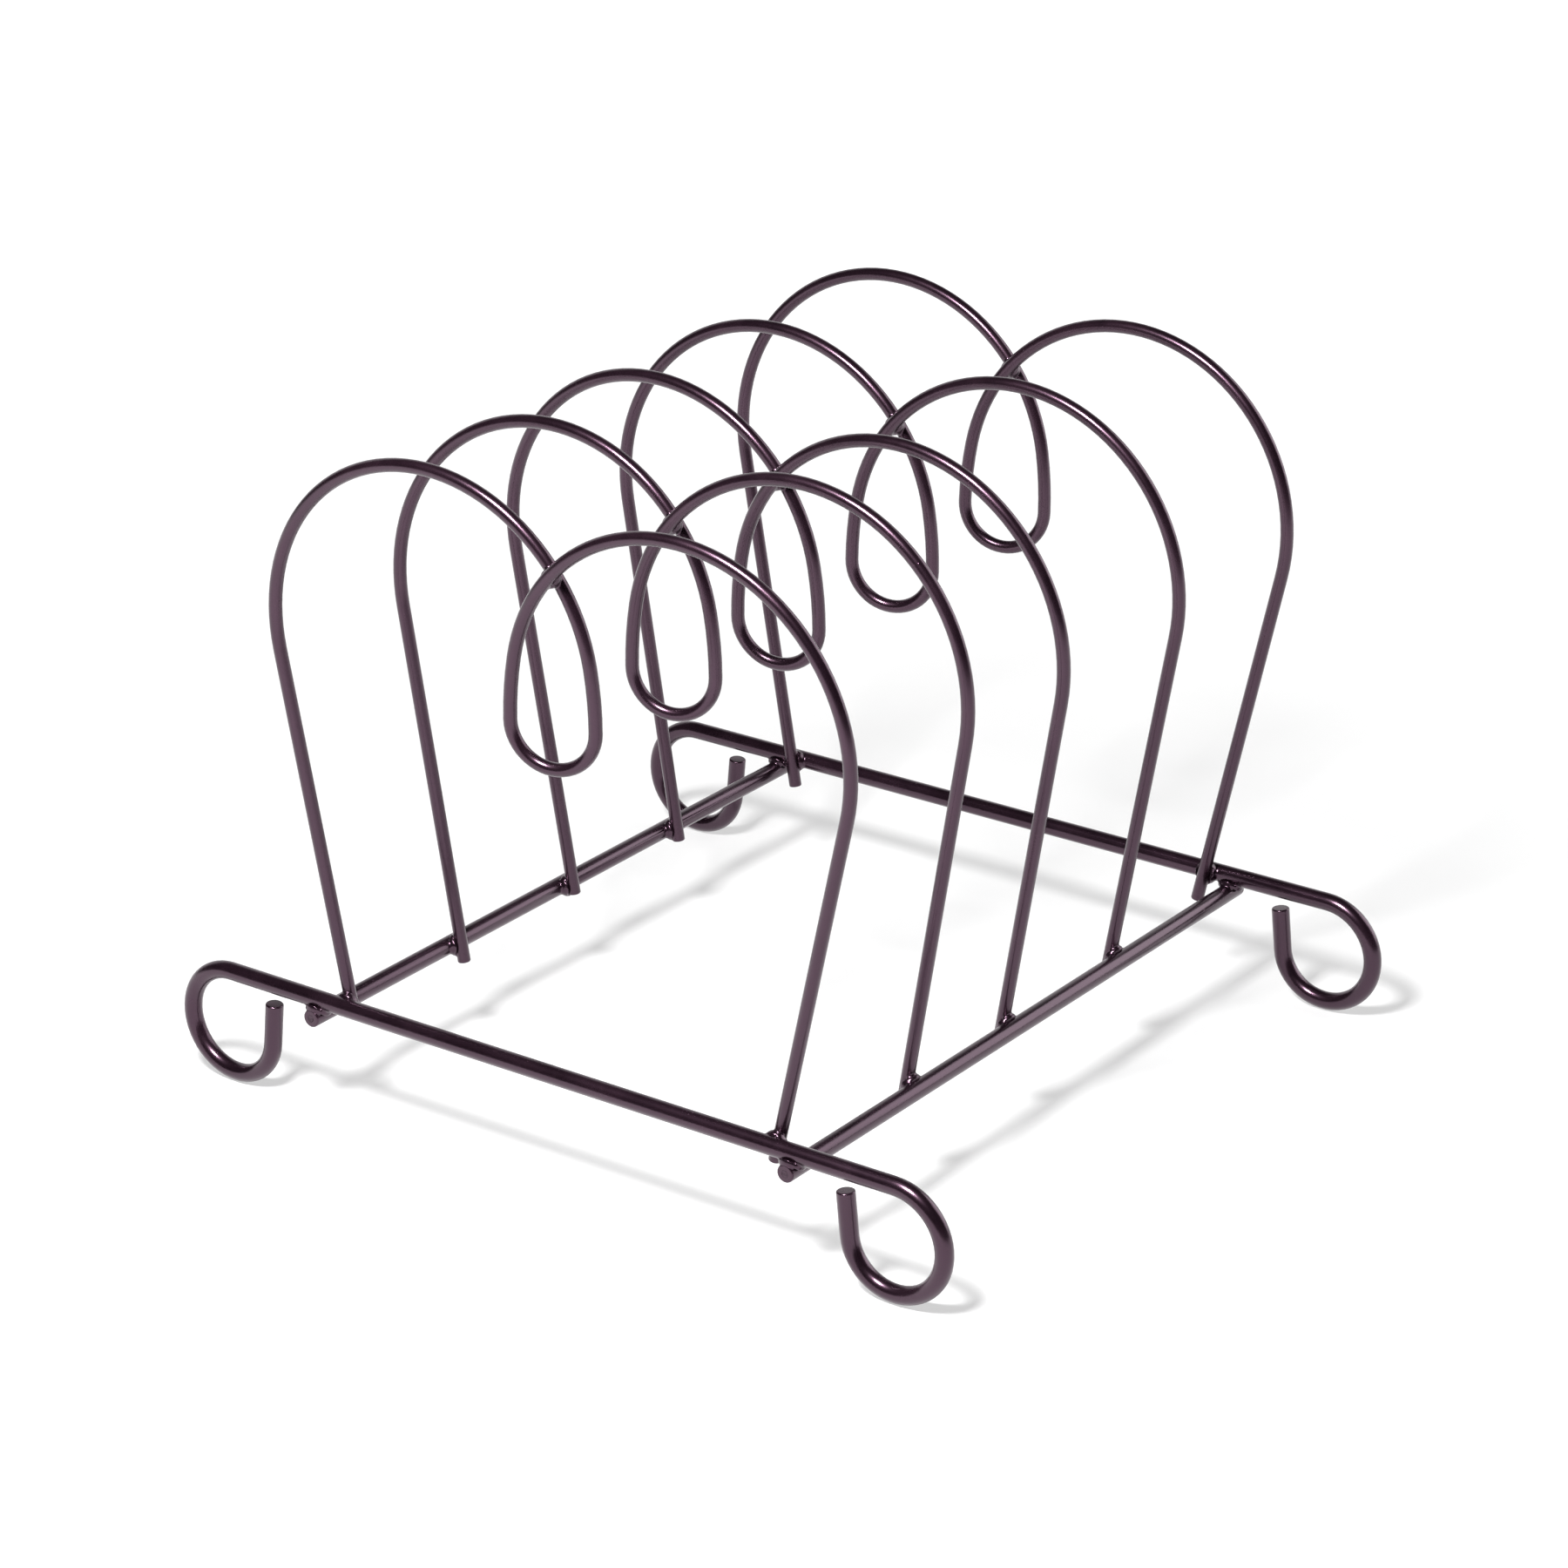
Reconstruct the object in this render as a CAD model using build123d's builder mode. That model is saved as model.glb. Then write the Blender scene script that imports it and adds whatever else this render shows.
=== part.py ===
from build123d import *
import math
import os

# A free-standing rack of welded, coated steel wire that holds plates on edge.
# Millimetres. +X runs along the crossbars, +Y from front to rear, +Z up.
# The origin is on the table, under the middle of the rack.

# ---- wire stock ------------------------------------------------------------
bar_wire_d = 4.8  # crossbars and rails
divider_wire_d = 3.5
end_round = 0.45  # rounding that the coating leaves on a sheared wire end

# ---- base frame ------------------------------------------------------------
rail_spacing = 150.0  # left rail to right rail, centre to centre
crossbar_spacing = 202.0  # front crossbar to rear crossbar, centre to centre
crossbar_overhang = 29.7  # rail centre to the start of the foot curl
rail_front_overhang = 1.2  # rail end beyond the front crossbar's outer face
rail_rear_overhang = 0.5

# ---- foot curl: a wide arc, a tighter arc, then a straight tip --------------
foot_curl_r = 14.4
foot_curl_turn = 194.5
foot_tip_r = 12.8
foot_tip_turn = 70.0
foot_tip_length = 11.8

# ---- divider: two arches that cross into a drop-shaped loop -----------------
rack_height = 180.2  # table to the top of the arches, before divider_lift
leg_lean = 9.8  # legs spread outwards on the way up, degrees from upright
loop_r = 11.5  # round bottom of the loop
loop_side_r = 96.0
loop_side_turn = 10.0
loop_gap = 0.6  # clear space between the two passes where the wire crosses itself
leg_overrun = 0.8  # leg end below the underside of the rail

# The end dividers stand on the crossbars instead, inside the rails.
end_leg_lean = 11.6
end_leg_inset = 6.6  # rail centre to leg centre, at crossbar height

# How each divider sits, front to rear: shift from even pitch and lift (mm),
# lean to the rear, turn, and tilt to the right (degrees).
divider_shift = [0.0, 1.0, -2.6, -2.2, 0.0]
divider_lift = [3.3, -0.2, 0.4, 0.0, 0.3]
divider_lean = [-1.3, 0.9, -1.4, 0.4, 2.4]
divider_turn = [0.0, 0.1, -1.7, -0.2, 0.0]
divider_tilt = [1.6, -0.5, 0.9, 0.5, 0.3]

# ---- resistance welds ------------------------------------------------------
frame_set_down = 0.6  # how far a crossbar and a rail sink into each other
leg_set_down = 0.35  # the same for a divider leg
frame_weld_r = 2.7
leg_weld_r = 2.35
loop_weld_r = 1.9  # joins the two passes where a divider wire crosses itself
leg_bead_pole = (35, 20, 0)  # keeps a leg bead's seam and poles off the wires that cut it

# ---- worked out ------------------------------------------------------------
bar_r = bar_wire_d / 2
divider_r = divider_wire_d / 2
divider_count = len(divider_lean)
bar_z = 2 * foot_curl_r + bar_r  # crossbar centre, with the curls on the table
rail_z = bar_z - (bar_wire_d - frame_set_down)
rail_drop = bar_z - rail_z
rail_x = rail_spacing / 2
crossbar_y = crossbar_spacing / 2
leg_touch = bar_r + divider_r - leg_set_down  # centre distance, leg to bar or rail
end_divider_y = crossbar_y - leg_touch
loop_half_gap = divider_r + loop_gap / 2
loop_half_width = math.sqrt(loop_r**2 - loop_half_gap**2)


class Outline:
    """A divider's outline seen from the front, with its zero at crossbar height.

    The leg passes through (leg_x, leg_z) at the given lean. The arch radius
    and the leg length close the outline between loop, arch top and foot.
    """

    def __init__(self, lean_degrees, leg_x, leg_z):
        lean = math.radians(lean_degrees)
        foot_z = -rail_drop - bar_r - leg_overrun
        foot_x = leg_x - (leg_z - foot_z) * math.tan(lean)
        top_z = rack_height - bar_z - divider_r
        heading_side = math.radians(90 + loop_side_turn)
        heading_leg = math.radians(270) + lean
        side_run = loop_side_r * (math.sin(heading_side) - 1)
        across = (math.sin(heading_leg) - math.sin(heading_side), math.cos(heading_leg))
        upward = (-1 - math.cos(heading_leg), math.sin(heading_leg))
        need_x = -foot_x - loop_half_width - side_run
        need_z = foot_z - top_z
        determinant = across[0] * upward[1] - across[1] * upward[0]
        self.arch_r = (need_x * upward[1] - across[1] * need_z) / determinant
        self.leg_length = (across[0] * need_z - need_x * upward[0]) / determinant
        self.arch_turn = math.degrees(heading_leg - heading_side)
        rise = self.arch_r * (math.cos(heading_side) + 1) - loop_side_r * math.cos(heading_side)
        self.loop_z = top_z - loop_r - rise
        arch_x = loop_half_width + side_run - self.arch_r * math.sin(heading_side)
        arch_rise = math.sqrt(self.arch_r**2 - arch_x**2)
        self.cross_z = top_z - self.arch_r + arch_rise  # where the wire crosses itself
        self.toe = math.degrees(math.atan2(loop_half_gap, leg_x))  # puts both feet on one line
        self.leg_x_at_zero = leg_x - leg_z * math.tan(lean)
        self.leg_slope = math.tan(lean)

    def wire(self):
        """The whole divider wire: one half, then the same half turned about the middle."""
        loop_plane = Plane((0, 0, self.loop_z), x_dir=(loop_half_width, loop_half_gap, 0),
                           z_dir=(loop_half_gap, -loop_half_width, 0))
        side_start = (loop_half_width, self.loop_z + loop_r)
        with BuildPart() as blank:
            with BuildLine(loop_plane):
                bottom = JernArc((0, 0), (1, 0), loop_r, 90)
            with BuildSketch(Plane(bottom @ 0, z_dir=bottom % 0)):
                Circle(divider_r)
            sweep()
            with BuildLine(Plane.XZ.offset(-loop_half_gap)):
                side = JernArc(side_start, (0, 1), loop_side_r, loop_side_turn)
                arch = JernArc(side @ 1, side % 1, self.arch_r, self.arch_turn)
                leg = Line(arch @ 1, arch @ 1 + (arch % 1) * self.leg_length)
            with BuildSketch(Plane(side @ 0, z_dir=side % 0)):
                Circle(divider_r)
            sweep()
            leg_end = blank.faces().sort_by_distance(leg @ 1)[0]
            fillet(leg_end.edges(), end_round)
            add(blank.part, rotation=(0, 0, 180))
        return blank


# A middle leg lies against the inner side of the rail.
rail_leg_tilt = math.radians(leg_lean)
rail_leg_x = rail_x - leg_touch * math.cos(rail_leg_tilt)
rail_leg_z = leg_touch * math.sin(rail_leg_tilt) - rail_drop
middle_outline = Outline(leg_lean, rail_leg_x, rail_leg_z)
end_outline = Outline(end_leg_lean, rail_x - end_leg_inset, 0)
end_indexes = {"front": 0, "rear": divider_count - 1}
divider_outlines = [middle_outline] * divider_count
for index in end_indexes.values():
    divider_outlines[index] = end_outline


def divider_place(index):
    """Where divider `index` stands, as the location of its outline's zero."""
    pitch = 2 * end_divider_y / (divider_count - 1)
    y = -end_divider_y + index * pitch + divider_shift[index]
    turn = divider_outlines[index].toe + divider_turn[index]
    stand = Location((0, y, bar_z + divider_lift[index]), (0, 0, turn))
    return stand * Location((0, 0, 0), (-divider_lean[index], divider_tilt[index], 0))


def leg_axis_at(index, side_sign, height):
    """The point on the axis of a leg of divider `index` at this height above the table."""
    outline = divider_outlines[index]
    place = divider_place(index)
    ends = []
    for z in (0, -rail_drop):
        x = outline.leg_x_at_zero + z * outline.leg_slope
        ends.append((place * Location((side_sign * x, -side_sign * loop_half_gap, z))).position)
    upper, lower = ends
    return upper + (lower - upper) * ((height - upper.Z) / (lower.Z - upper.Z))


def finish_piece(piece, name):
    """Label a finished piece and write it as its own STEP file."""
    piece.part.label = name
    export_step(piece.part, f"parts/{name}.step")


os.makedirs("parts", exist_ok=True)

# ---- crossbars, each one wire from tip to tip ------------------------------
with BuildPart() as crossbar_blank:
    with BuildLine(Plane.XZ):
        run = Line((0, 0), (rail_x + crossbar_overhang, 0))
        curl = JernArc(run @ 1, run % 1, foot_curl_r, -foot_curl_turn)
        hook = JernArc(curl @ 1, curl % 1, foot_tip_r, -foot_tip_turn)
        tip = Line(hook @ 1, hook @ 1 + (hook % 1) * foot_tip_length)
    with BuildSketch(Plane.YZ):
        Circle(bar_r)
    sweep()
    tip_end = crossbar_blank.faces().sort_by_distance(tip @ 1)[0]
    fillet(tip_end.edges(), end_round)
    mirror(about=Plane.YZ)

# ---- rails, straight rods under the crossbars ------------------------------
rail_start_y = -crossbar_y - bar_r - rail_front_overhang
rail_end_y = crossbar_y + bar_r + rail_rear_overhang
with BuildPart() as rail_blank:
    with BuildSketch(Plane.XZ.offset(-rail_start_y)):
        Circle(bar_r)
    extrude(amount=-(rail_end_y - rail_start_y))
    fillet(rail_blank.edges().filter_by(GeomType.CIRCLE), end_round)

# ---- dividers --------------------------------------------------------------
middle_wire = middle_outline.wire()
end_wire = end_outline.wire()
dividers = []
for index, outline in enumerate(divider_outlines):
    wire = end_wire if outline is end_outline else middle_wire
    with BuildPart() as divider:
        with Locations(divider_place(index)):
            add(wire.part)
    dividers.append(divider)
    finish_piece(divider, f"divider_{index + 1}")

# Rails: each is dented by the legs that are welded to its inner side.
rails = {}
for side_name, side_sign in (("left", -1), ("right", 1)):
    with BuildPart() as rail:
        with Locations((side_sign * rail_x, 0, rail_z)):
            add(rail_blank.part)
        for divider in dividers:
            add(divider.part, mode=Mode.SUBTRACT)
    rails[side_name] = rail
    finish_piece(rail, f"{side_name}_rail")

# Crossbars: dented from below by the rails and on the inner side by the legs
# of the end divider.
crossbars = {}
for end_name, end_sign in (("front", -1), ("rear", 1)):
    with BuildPart() as crossbar:
        with Locations((0, end_sign * crossbar_y, bar_z)):
            add(crossbar_blank.part)
        for rail in rails.values():
            add(rail.part, mode=Mode.SUBTRACT)
        add(dividers[end_indexes[end_name]].part, mode=Mode.SUBTRACT)
    crossbars[end_name] = crossbar
    finish_piece(crossbar, f"{end_name}_crossbar")


def contact_point(leg_axis, bar_axis):
    """The middle of the dent between a leg and the bar or rail that it is welded to."""
    towards = (bar_axis - leg_axis).normalized()
    return leg_axis + towards * (divider_r - leg_set_down / 2)


def weld_bead(centre, radius, around, pole=(0, 0, 0)):
    """A round bead at a contact point, cut back by the pieces around it."""
    with BuildPart() as bead:
        with Locations(centre):
            Sphere(radius, rotation=pole)
        for piece in around:
            add(piece.part, mode=Mode.SUBTRACT)
    return bead


# ---- welds -----------------------------------------------------------------
for index, divider in enumerate(dividers):
    crossing = divider_place(index) * Location((0, 0, divider_outlines[index].cross_z))
    bead = weld_bead(crossing.position, loop_weld_r, [divider])
    finish_piece(bead, f"loop_weld_{index + 1}")

for side_name, side_sign in (("left", -1), ("right", 1)):
    rail = rails[side_name]

    # divider leg on rail
    for index, divider in enumerate(dividers):
        if index in end_indexes.values():
            continue
        leg_axis = leg_axis_at(index, side_sign, bar_z + rail_leg_z)
        centre = contact_point(leg_axis, Vector(side_sign * rail_x, leg_axis.Y, rail_z))
        bead = weld_bead(centre, leg_weld_r, [rail, divider], leg_bead_pole)
        finish_piece(bead, f"leg_weld_{index + 1}_{side_name}")

    for end_name, end_sign in (("front", -1), ("rear", 1)):
        crossbar = crossbars[end_name]
        end_index = end_indexes[end_name]
        end_divider = dividers[end_index]

        # crossbar on rail
        centre = (side_sign * rail_x, end_sign * crossbar_y, (bar_z + rail_z) / 2)
        frame_bead = weld_bead(centre, frame_weld_r, [crossbar, rail, end_divider])
        finish_piece(frame_bead, f"frame_weld_{end_name}_{side_name}")

        # end divider leg on crossbar
        leg_axis = leg_axis_at(end_index, side_sign, bar_z)
        centre = contact_point(leg_axis, Vector(leg_axis.X, end_sign * crossbar_y, bar_z))
        around = [crossbar, rail, end_divider, frame_bead]
        bead = weld_bead(centre, leg_weld_r, around, leg_bead_pole)
        finish_piece(bead, f"end_weld_{end_name}_{side_name}")
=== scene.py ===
import math

import bmesh
import bpy
from mathutils import Matrix, Vector


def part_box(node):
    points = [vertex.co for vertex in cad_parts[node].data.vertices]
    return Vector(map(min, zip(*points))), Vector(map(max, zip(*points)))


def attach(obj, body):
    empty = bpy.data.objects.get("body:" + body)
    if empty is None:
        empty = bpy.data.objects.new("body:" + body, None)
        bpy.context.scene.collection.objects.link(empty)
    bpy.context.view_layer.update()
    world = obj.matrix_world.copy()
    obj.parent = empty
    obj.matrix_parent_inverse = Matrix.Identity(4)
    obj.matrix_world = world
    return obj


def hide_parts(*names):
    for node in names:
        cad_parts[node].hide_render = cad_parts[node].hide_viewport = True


# A plate rack of welded steel wire under a glossy, nearly black aubergine coating.
# Metres. +X along the crossbars, +Y from front to rear, +Z up, floor at zero.

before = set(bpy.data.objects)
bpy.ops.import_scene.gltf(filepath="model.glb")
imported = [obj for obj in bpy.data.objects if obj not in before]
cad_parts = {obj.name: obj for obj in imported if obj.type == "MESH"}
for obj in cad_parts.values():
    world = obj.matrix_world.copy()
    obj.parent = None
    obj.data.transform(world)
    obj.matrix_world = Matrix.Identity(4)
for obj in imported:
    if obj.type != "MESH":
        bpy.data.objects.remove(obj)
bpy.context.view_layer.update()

MM = 0.001
WIRES = ["front_crossbar", "rear_crossbar", "left_rail", "right_rail"]
WIRES += [f"divider_{number}" for number in range(1, 6)]


def grey(level):
    return (level, level, level, 1.0)


# ---- coating ----------------------------------------------------------------
COATING_COLOUR = (0.0060, 0.0026, 0.0046, 1.0)
COATING_THIN_COLOUR = (0.0125, 0.0058, 0.0096, 1.0)  # where it lies thin and the primer warms it
POOLED_COLOUR = (0.0050, 0.0022, 0.0040, 1.0)  # where it has run together round a weld
SHEEN_TINT = (1.0, 0.56, 0.84, 1.0)  # the coating's gloss is warm, like dark plum enamel
COATING_IOR = 1.64
CLOUD_SIZE = 14 * MM  # drift in depth of colour along the wires
CLOUD_DETAIL = 4.0
CLOUD_ROUGHNESS = 0.6
THIN_FROM = 0.42  # cloud value from which the coating gets thinner
THIN_GAIN = 3.0
PEEL_SIZE = 1.3 * MM  # orange peel of the sprayed coat
PEEL_DETAIL = 2.0
PEEL_ROUGHNESS = 0.45
PEEL_DEPTH = 0.0025 * MM
NIB_SPACING = 6.5 * MM  # dust caught under the coat
NIB_RADIUS = 0.28 * MM
NIB_HEIGHT = 0.07 * MM
COATING_ROUGHNESS = 0.23  # where it lies deep and even
GLOSS_LOST_THIN = 0.04  # roughness added where it lies thin
GLOSS_LOST_PEEL = 0.03  # roughness added on the crests of the orange peel
TOP_COAT_WEIGHT = 0.3
TOP_COAT_ROUGHNESS = 0.2
TOP_COAT_IOR = 1.5

# ---- surfaces and welds -----------------------------------------------------
MERGE_DISTANCE = 0.001 * MM
SHARP_EDGE = math.radians(32)  # sharper edges than this stay crisp
WELD_VOXEL = 0.17 * MM
WELD_BEAD_SWELL = 1.35  # raised edge of a bead, against the CAD bead
WELD_FLOW_STEPS = 34  # how far the coating has flowed into the corners
WELD_FLOW_FACTOR = 0.5  # how much of it flows in each step
STUB_REACH = 5.2 * MM  # length of wire on each side of a weld that takes part

# ---- camera -----------------------------------------------------------------
CAMERA_PLACE = (0.7252, -0.9984, 0.5940)
CAMERA_AZIMUTH = math.radians(36.825)
CAMERA_ELEVATION = math.radians(22.764)
CAMERA_ROLL = math.radians(-0.637)
CAMERA_LENS = 118.3
CAMERA_SENSOR = 36.0
CAMERA_SHIFT = (0.0429, -0.0033)

# ---- studio -----------------------------------------------------------------
FLOOR_RADIUS = 4.0
FLOOR_SEGMENTS = 64
FLOOR_ROUGHNESS = 0.9
FLOOR_COLOUR = grey(0.42)  # the glow makes it white
FLOOR_GLOW = grey(0.54)  # under the rack; the key light makes up the rest of the white
# painted light: the floor's own glow rises away from the rack to make up for the key light
# falling off there
FLOOR_GLOW_FAR = grey(1.05)
FLOOR_GLOW_START = 0.22  # distance from the rack where the floor starts to get brighter
FLOOR_GLOW_RUN = 0.55
TABLE_CENTRE = (-0.20, 0.28, 0.0)  # the lit part of the floor reaches further behind the rack
TABLE_RADIUS = 1.0
TABLE_FADE = 1.4  # beyond the radius the glow sinks over this distance
TABLE_EDGE_GLOW = grey(0.25)

LIGHT_TARGET = (0, 0, 0.05)  # low in the middle of the rack
KEY_PLACE = (0.05, -0.47, 0.70)
KEY_SIZE = (0.17, 0.15)
KEY_RADIANCE = 155.0
PANEL_PLACE = (1.0, 1.6, 0.85)
PANEL_SIZE = (1.5, 1.6)
PANEL_RADIANCE = 2.5

WALL_COLOUR = grey(0.8)  # the white backdrop, behind the rack only
ROOM_COLOUR = grey(0.015)  # the rest of the room is dark
TO_BACKDROP = (-0.59, 0.81, 0.0)
BACKDROP_SIDE = 0.50  # how squarely a direction must face the backdrop to reach its edge
BACKDROP_SIDE_FADE = 0.25
BACKDROP_TOP = 0.45  # height of a direction at which the backdrop starts to end
BACKDROP_TOP_FADE = 0.20


class Value:
    """A shader value in a Python expression: each operation on it adds a Math node."""

    def __init__(self, tree, socket=None):
        self.tree = tree
        self.socket = socket

    def node(self, kind, settings=None, inputs=None, output=0):
        """Any other node: its type, its settings, the values or links of its sockets."""
        made = self.tree.nodes.new(kind)
        for name, value in (settings or {}).items():
            setattr(made, name, value)
        for name, value in (inputs or {}).items():
            if isinstance(value, Value):
                self.tree.links.new(value.socket, made.inputs[name])
            else:
                made.inputs[name].default_value = value
        return Value(self.tree, made.outputs[output] if made.outputs else None)

    def math(self, operation, first, second=0.0, clamp=False):
        settings = {"operation": operation, "use_clamp": clamp}
        return self.node("ShaderNodeMath", settings, {0: first, 1: second})

    def __add__(self, other):
        return self.math("ADD", self, other)

    def __radd__(self, other):
        return self.math("ADD", other, self)

    def __sub__(self, other):
        return self.math("SUBTRACT", self, other)

    def __rsub__(self, other):
        return self.math("SUBTRACT", other, self)

    def __mul__(self, other):
        return self.math("MULTIPLY", self, other)

    def __rmul__(self, other):
        return self.math("MULTIPLY", other, self)

    def __truediv__(self, other):
        return self.math("DIVIDE", self, other)

    def clamped(self):
        return self.math("ADD", self, 0.0, clamp=True)

    def mixed(self, first, second):
        """The first colour where this value is 0, the second where it is 1."""
        colours = {0: self, 6: first, 7: second}
        return self.node("ShaderNodeMix", {"data_type": "RGBA"}, colours, 2)


def new_material(name):
    material = bpy.data.materials.new(name)
    material.use_nodes = True
    material.node_tree.nodes.clear()
    return material, Value(material.node_tree)


def finish_material(material, shader):
    shader.node("ShaderNodeOutputMaterial", {}, {"Surface": shader})
    return material


def coating(name, deep_colour, thin_colour, peel_depth):
    """Glossy stoved coating: clouded colour, orange peel and a few dust nibs."""
    material, start = new_material(name)
    place = start.node("ShaderNodeTexCoord", output="Object")
    cloud = start.node("ShaderNodeTexNoise", {}, {
        "Vector": place, "Scale": 1 / CLOUD_SIZE,
        "Detail": CLOUD_DETAIL, "Roughness": CLOUD_ROUGHNESS})
    thin = ((cloud - THIN_FROM) * THIN_GAIN).clamped()
    colour = thin.mixed(deep_colour, thin_colour)
    peel = start.node("ShaderNodeTexNoise", {}, {
        "Vector": place, "Scale": 1 / PEEL_SIZE,
        "Detail": PEEL_DETAIL, "Roughness": PEEL_ROUGHNESS})
    nib_distance = start.node("ShaderNodeTexVoronoi", {}, {
        "Vector": place, "Scale": 1 / NIB_SPACING})
    nib = (1.0 - nib_distance * (NIB_SPACING / NIB_RADIUS)).clamped()
    height = peel * peel_depth + nib * NIB_HEIGHT
    bump = start.node("ShaderNodeBump", {}, {
        "Height": height, "Distance": 1.0, "Strength": 1.0})
    roughness = COATING_ROUGHNESS + thin * GLOSS_LOST_THIN + peel * GLOSS_LOST_PEEL
    shader = start.node("ShaderNodeBsdfPrincipled", {}, {
        "Base Color": colour, "Roughness": roughness, "Normal": bump,
        "IOR": COATING_IOR, "Specular Tint": SHEEN_TINT,
        "Coat Weight": TOP_COAT_WEIGHT, "Coat Roughness": TOP_COAT_ROUGHNESS,
        "Coat IOR": TOP_COAT_IOR})
    return finish_material(material, shader)


def loose_copy(node):
    """A bmesh of a CAD node with its loose triangles merged."""
    mesh = bmesh.new()
    mesh.from_mesh(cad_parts[node].data)
    bmesh.ops.remove_doubles(mesh, verts=mesh.verts, dist=MERGE_DISTANCE)
    bmesh.ops.recalc_face_normals(mesh, faces=mesh.faces)
    return mesh


def new_piece(name, mesh, material):
    """An object at the origin made from a bmesh, smooth but for its sharp edges."""
    data = bpy.data.meshes.new(name)
    mesh.to_mesh(data)
    mesh.free()
    data.materials.append(material)
    data.shade_smooth()
    piece = bpy.data.objects.new(name, data)
    bpy.context.scene.collection.objects.link(piece)
    return piece


def stub(node, centre):
    """The stretch of a wire within reach of a weld, closed where it is cut."""
    mesh = loose_copy(node)
    for axis in range(3):
        for side in (-1, 1):
            outward = Vector([side if i == axis else 0 for i in range(3)])
            everything = mesh.verts[:] + mesh.edges[:] + mesh.faces[:]
            cut = bmesh.ops.bisect_plane(mesh, geom=everything,
                                         plane_co=centre + outward * STUB_REACH,
                                         plane_no=outward, clear_outer=True)
            rim = [item for item in cut["geom_cut"] if isinstance(item, bmesh.types.BMEdge)]
            if rim:
                bmesh.ops.edgeloop_fill(mesh, edges=rim)
    return mesh


def middle(node):
    low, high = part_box(node)
    return (low + high) / 2


def weld(node, wires, material):
    """The coating that has run into the corners round one weld."""
    joined = bpy.data.meshes.new(node + "_raw")
    gathered = loose_copy(node)
    grow = Matrix.Diagonal((WELD_BEAD_SWELL,) * 3)
    bmesh.ops.transform(gathered, matrix=grow.to_4x4(), verts=gathered.verts,
                        space=Matrix.Translation(-middle(node)))
    for name in wires:
        stretch = stub(name, middle(node))
        stretch.to_mesh(joined)
        stretch.free()
        gathered.from_mesh(joined)
    gathered.to_mesh(joined)
    gathered.free()
    raw = bpy.data.objects.new(node + "_raw", joined)
    bpy.context.scene.collection.objects.link(raw)
    remesh = raw.modifiers.new("union", "REMESH")
    remesh.mode = "VOXEL"
    remesh.voxel_size = WELD_VOXEL
    flow = raw.modifiers.new("flow", "SMOOTH")
    flow.factor = WELD_FLOW_FACTOR
    flow.iterations = WELD_FLOW_STEPS
    evaluated = raw.evaluated_get(bpy.context.evaluated_depsgraph_get())
    mesh = bmesh.new()
    mesh.from_mesh(evaluated.to_mesh())
    bpy.data.objects.remove(raw)
    piece = new_piece(node.replace("weld", "weld_fillet"), mesh, material)
    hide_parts(node)
    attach(piece, "root")


def wire(node, material):
    """One wire of the rack, with a smooth surface."""
    mesh = loose_copy(node)
    for edge in mesh.edges:
        edge.smooth = len(edge.link_faces) != 2 or edge.calc_face_angle() < SHARP_EDGE
    piece = new_piece(node + "_wire", mesh, material)
    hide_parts(node)
    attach(piece, "root")


def place_camera():
    """Front right, looking down on the rack from about 1.4 metres away."""
    camera = bpy.data.cameras.new("camera")
    camera.lens = CAMERA_LENS
    camera.sensor_width = CAMERA_SENSOR
    camera.shift_x, camera.shift_y = CAMERA_SHIFT
    holder = bpy.data.objects.new("camera", camera)
    aim = Matrix.Rotation(CAMERA_AZIMUTH, 4, "Z")
    tip = Matrix.Rotation(math.pi / 2 - CAMERA_ELEVATION, 4, "X")
    roll = Matrix.Rotation(CAMERA_ROLL, 4, "Z")
    holder.matrix_world = Matrix.Translation(CAMERA_PLACE) @ (aim @ tip) @ roll
    bpy.context.scene.collection.objects.link(holder)
    bpy.context.scene.camera = holder


def softbox(name, place, size, radiance):
    """A rectangular light facing the rack, as bright as its radiance says."""
    light = bpy.data.lights.new(name, "AREA")
    light.shape = "RECTANGLE"
    light.size, light.size_y = size
    light.energy = radiance * math.pi * light.size * light.size_y
    holder = bpy.data.objects.new(name, light)
    aim = (Vector(LIGHT_TARGET) - Vector(place)).to_track_quat("-Z", "Y")
    holder.matrix_world = Matrix.Translation(place) @ aim.to_matrix().to_4x4()
    bpy.context.scene.collection.objects.link(holder)


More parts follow.
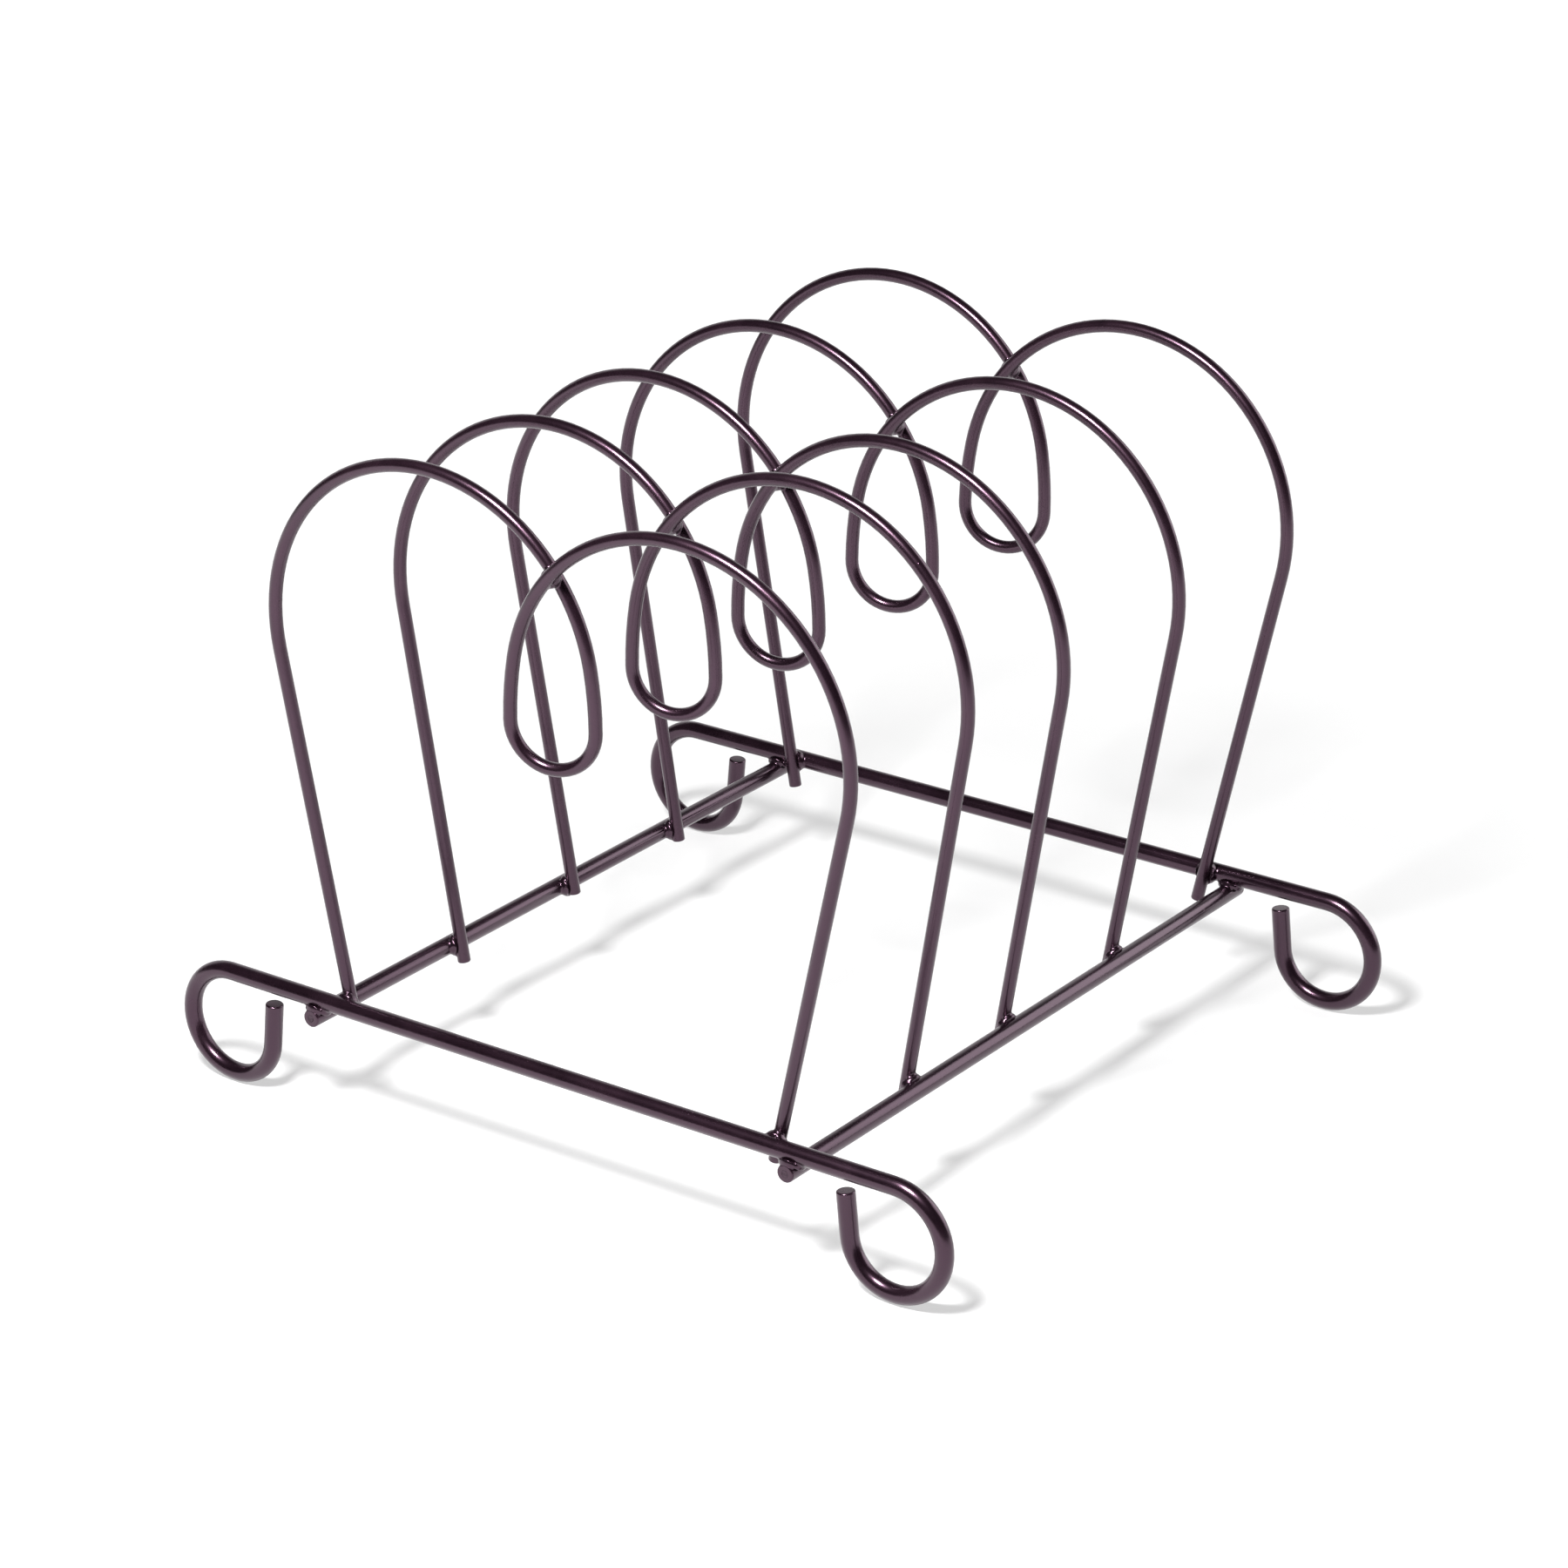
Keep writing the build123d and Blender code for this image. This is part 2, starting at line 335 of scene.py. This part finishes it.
def lay_floor():
    """A white light table, bright by itself, so that shadows stay soft and pale."""
    mesh = bmesh.new()
    bmesh.ops.create_circle(mesh, cap_ends=True, segments=FLOOR_SEGMENTS, radius=FLOOR_RADIUS)
    material, start = new_material("light_table")
    place = start.node("ShaderNodeTexCoord", output="Object")
    away = place.node("ShaderNodeVectorMath", {"operation": "LENGTH"}, {0: place}, "Value")
    # painted light: the glow grows with distance from the rack, standing in for the key light
    # where it falls off
    far = ((away - FLOOR_GLOW_START) / FLOOR_GLOW_RUN).clamped()
    table = far.mixed(FLOOR_GLOW, FLOOR_GLOW_FAR)
    off_centre = place.node("ShaderNodeVectorMath", {"operation": "DISTANCE"},
                            {0: place, 1: TABLE_CENTRE}, "Value")
    beyond = ((off_centre - TABLE_RADIUS) / TABLE_FADE).clamped()
    glow = beyond.mixed(table, TABLE_EDGE_GLOW)
    shader = start.node("ShaderNodeBsdfPrincipled", {}, {
        "Base Color": FLOOR_COLOUR, "Roughness": FLOOR_ROUGHNESS, "Specular IOR Level": 0.0,
        "Emission Color": glow, "Emission Strength": 1.0})
    floor = new_piece("floor", mesh, finish_material(material, shader))


def light_studio():
    """A dark room with a white backdrop, a small key light and a wide panel behind."""
    softbox("key_softbox", KEY_PLACE, KEY_SIZE, KEY_RADIANCE)
    softbox("back_right_panel", PANEL_PLACE, PANEL_SIZE, PANEL_RADIANCE)
    world = bpy.data.worlds.new("studio")
    world.use_nodes = True
    world.node_tree.nodes.clear()
    start = Value(world.node_tree)
    direction = start.node("ShaderNodeTexCoord", output="Generated")
    height = direction.node("ShaderNodeSeparateXYZ", {}, {"Vector": direction}, "Z")
    facing = direction.node("ShaderNodeVectorMath", {"operation": "DOT_PRODUCT"},
                            {0: direction, 1: TO_BACKDROP}, "Value")
    above = ((height - BACKDROP_TOP) / BACKDROP_TOP_FADE).clamped()
    behind = ((facing - BACKDROP_SIDE) / BACKDROP_SIDE_FADE).clamped()
    backdrop = behind * (1.0 - above)
    sky = backdrop.mixed(ROOM_COLOUR, WALL_COLOUR)
    surround = sky.node("ShaderNodeBackground", {}, {"Color": sky})
    sky.node("ShaderNodeOutputWorld", {}, {"Surface": surround})
    bpy.context.scene.world = world
    bpy.context.scene.view_settings.view_transform = "Standard"


place_camera()
lay_floor()
light_studio()

# ---- rack -------------------------------------------------------------------
coated = coating("aubergine_coating", COATING_COLOUR, COATING_THIN_COLOUR, PEEL_DEPTH)
pooled = coating("pooled_coating", POOLED_COLOUR, COATING_COLOUR, PEEL_DEPTH / 2)

for node in WIRES:
    wire(node, coated)
for number in range(1, 6):
    weld(f"loop_weld_{number}", [f"divider_{number}"], pooled)
for side in ("left", "right"):
    for number in range(2, 5):
        weld(f"leg_weld_{number}_{side}", [f"divider_{number}", f"{side}_rail"], pooled)
    for end, number in (("front", 1), ("rear", 5)):
        weld(f"frame_weld_{end}_{side}", [f"{end}_crossbar", f"{side}_rail"], pooled)
        weld(f"end_weld_{end}_{side}", [f"{end}_crossbar", f"divider_{number}"], pooled)
